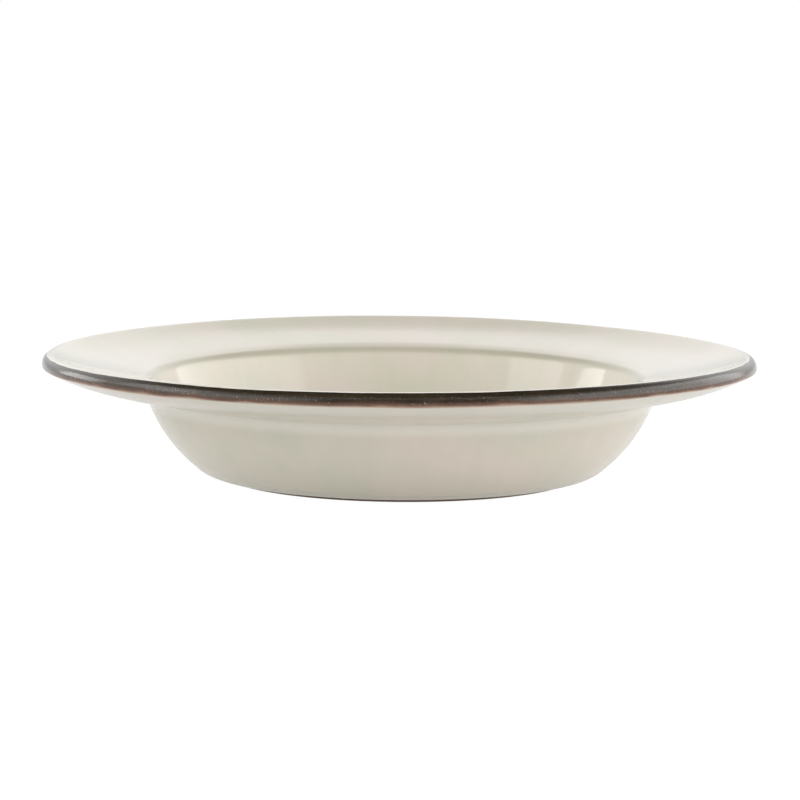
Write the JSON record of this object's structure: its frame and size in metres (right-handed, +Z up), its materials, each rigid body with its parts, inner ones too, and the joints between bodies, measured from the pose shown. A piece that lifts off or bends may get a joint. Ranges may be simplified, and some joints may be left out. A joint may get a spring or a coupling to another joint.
{
  "type": "rimmed soup plate",
  "caption": "Round soup plate in glazed stoneware: a deep well inside a wide gently rising rim, with a thick rounded lip banded in dark brown and a low foot ring.",
  "frame": {"origin": "centre of the foot ring, on the plane that the plate stands on", "axes": "+Z up along the axis that the plate was turned on; +X to the right and +Y away in the picture"},
  "size_m": [0.24, 0.24, 0.0423],
  "materials": {
    "bare_stoneware": "matte",
    "cream_glaze": "gloss",
    "iron_glaze": "gloss"
  },
  "bodies": {
    "root": {"clay_body": "bare_stoneware", "inside_glaze": "cream_glaze", "outside_glaze": "cream_glaze", "base_glaze": "cream_glaze", "rim_band": "iron_glaze"}
  },
  "joints": []
}
